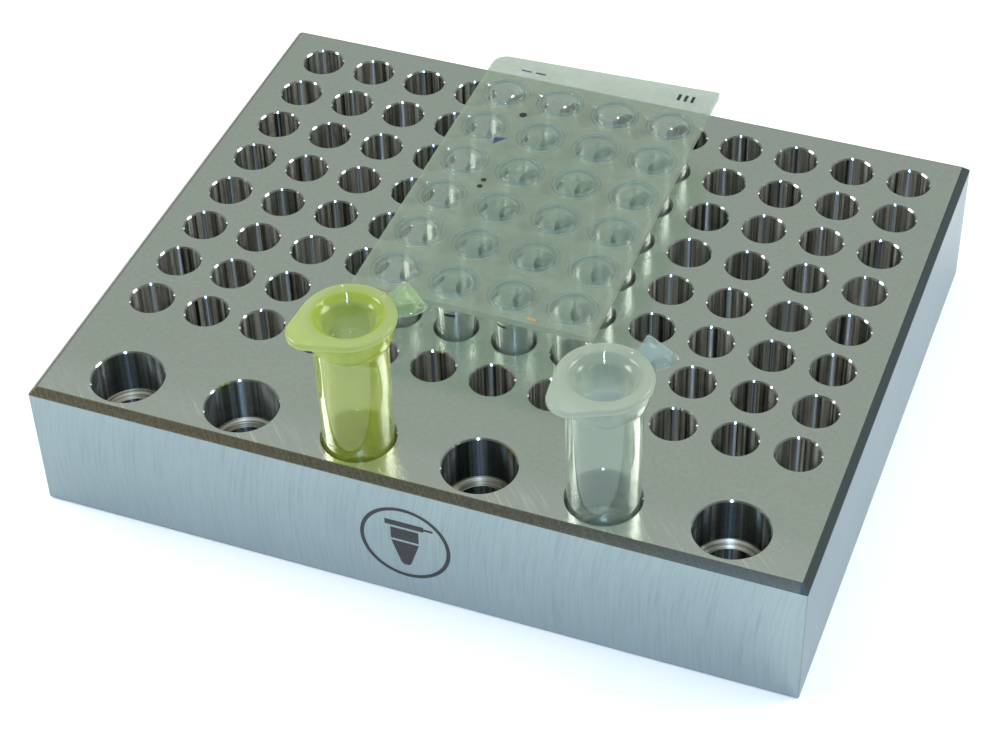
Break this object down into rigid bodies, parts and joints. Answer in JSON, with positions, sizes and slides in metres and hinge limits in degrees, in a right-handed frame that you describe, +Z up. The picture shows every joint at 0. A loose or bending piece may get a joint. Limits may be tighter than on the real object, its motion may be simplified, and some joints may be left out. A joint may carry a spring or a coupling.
{
  "type": "dry block with tubes",
  "caption": "Flat aluminium dry block with a grid of small wells and a row of large pockets, holding a cut PCR plate and two snap-cap microtubes.",
  "frame": {"origin": "centre of the block's underside", "axes": "+X right along the twelve columns of wells, +Y to the back, away from the row of large pockets, +Z up"},
  "size_m": [0.115, 0.0955, 0.0444],
  "materials": {
    "block_aluminium": "satin",
    "plate_plastic": "gloss",
    "yellow_plastic": "gloss",
    "clear_plastic": "gloss"
  },
  "bodies": {
    "block": {"block": "block_aluminium"},
    "plate": {"pcr_deck": "plate_plastic", "pcr_cups": "plate_plastic"},
    "yellow_tube": {"yellow_tube": "yellow_plastic", "yellow_strap_lower": "yellow_plastic"},
    "yellow_lid": {"yellow_lid": "yellow_plastic", "yellow_strap_upper": "yellow_plastic"},
    "clear_tube": {"clear_tube": "clear_plastic", "clear_strap_lower": "clear_plastic"},
    "clear_lid": {"clear_lid": "clear_plastic", "clear_strap_upper": "clear_plastic"}
  },
  "joints": [
    {"name": "plate_lift", "type": "slide", "parent": "block", "child": "plate", "axis": [0, 0, 1], "range_m": [0, 0.03]},
    {"name": "yellow_tube_lift", "type": "slide", "parent": "block", "child": "yellow_tube", "axis": [0, 0, 1], "range_m": [0, 0.04]},
    {"name": "yellow_lid_open", "type": "hinge", "parent": "yellow_tube", "child": "yellow_lid", "pos_m": [-0.00257, -0.03244, 0.0432], "axis": [-0.766, 0.6428, 0], "range_deg": [0, 120]},
    {"name": "clear_tube_lift", "type": "slide", "parent": "block", "child": "clear_tube", "axis": [0, 0, 1], "range_m": [0, 0.04]},
    {"name": "clear_lid_open", "type": "hinge", "parent": "clear_tube", "child": "clear_lid", "pos_m": [0.032, -0.03144, 0.0432], "axis": [-0.866, 0.5, 0], "range_deg": [0, 120]}
  ]
}
